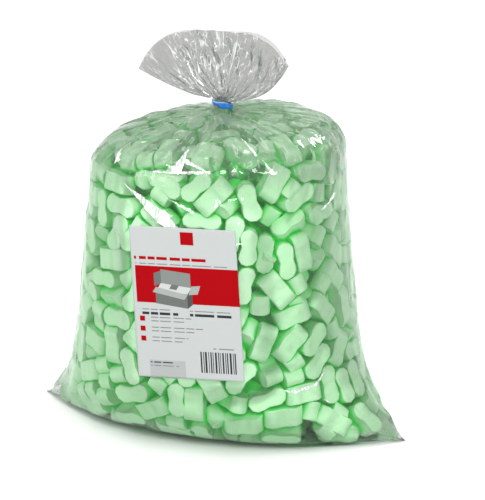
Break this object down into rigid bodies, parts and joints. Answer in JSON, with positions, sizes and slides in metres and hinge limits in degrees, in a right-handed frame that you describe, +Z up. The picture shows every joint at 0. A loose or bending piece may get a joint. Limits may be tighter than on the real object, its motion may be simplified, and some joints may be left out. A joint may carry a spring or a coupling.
{
  "type": "packing peanut bag",
  "caption": "Clear film bag full of pale green foam packing peanuts, with pointed bottom corners, a gathered and tied neck, a flared top and a front label.",
  "frame": {"origin": "middle of the underside, on the surface that the bag stands on", "axes": "+Z up through the tied neck, -Y out of the front that carries the label, +X to the right along the bottom seal"},
  "size_m": [0.37, 0.2346, 0.3857],
  "materials": {
    "clear_film": "thin clear polyethylene film, glossy, crinkled and pleated",
    "green_foam": "light mint green expanded polystyrene foam, fine closed cells, matte to satin",
    "label_paper": "white paper label with red and grey print, smooth",
    "blue_tie": "bright blue plastic tie, satin"
  },
  "bodies": {
    "root": {"bag_film": "clear_film", "peanut_fill": "green_foam", "front_label": "label_paper", "neck_tie": "blue_tie"}
  },
  "joints": []
}
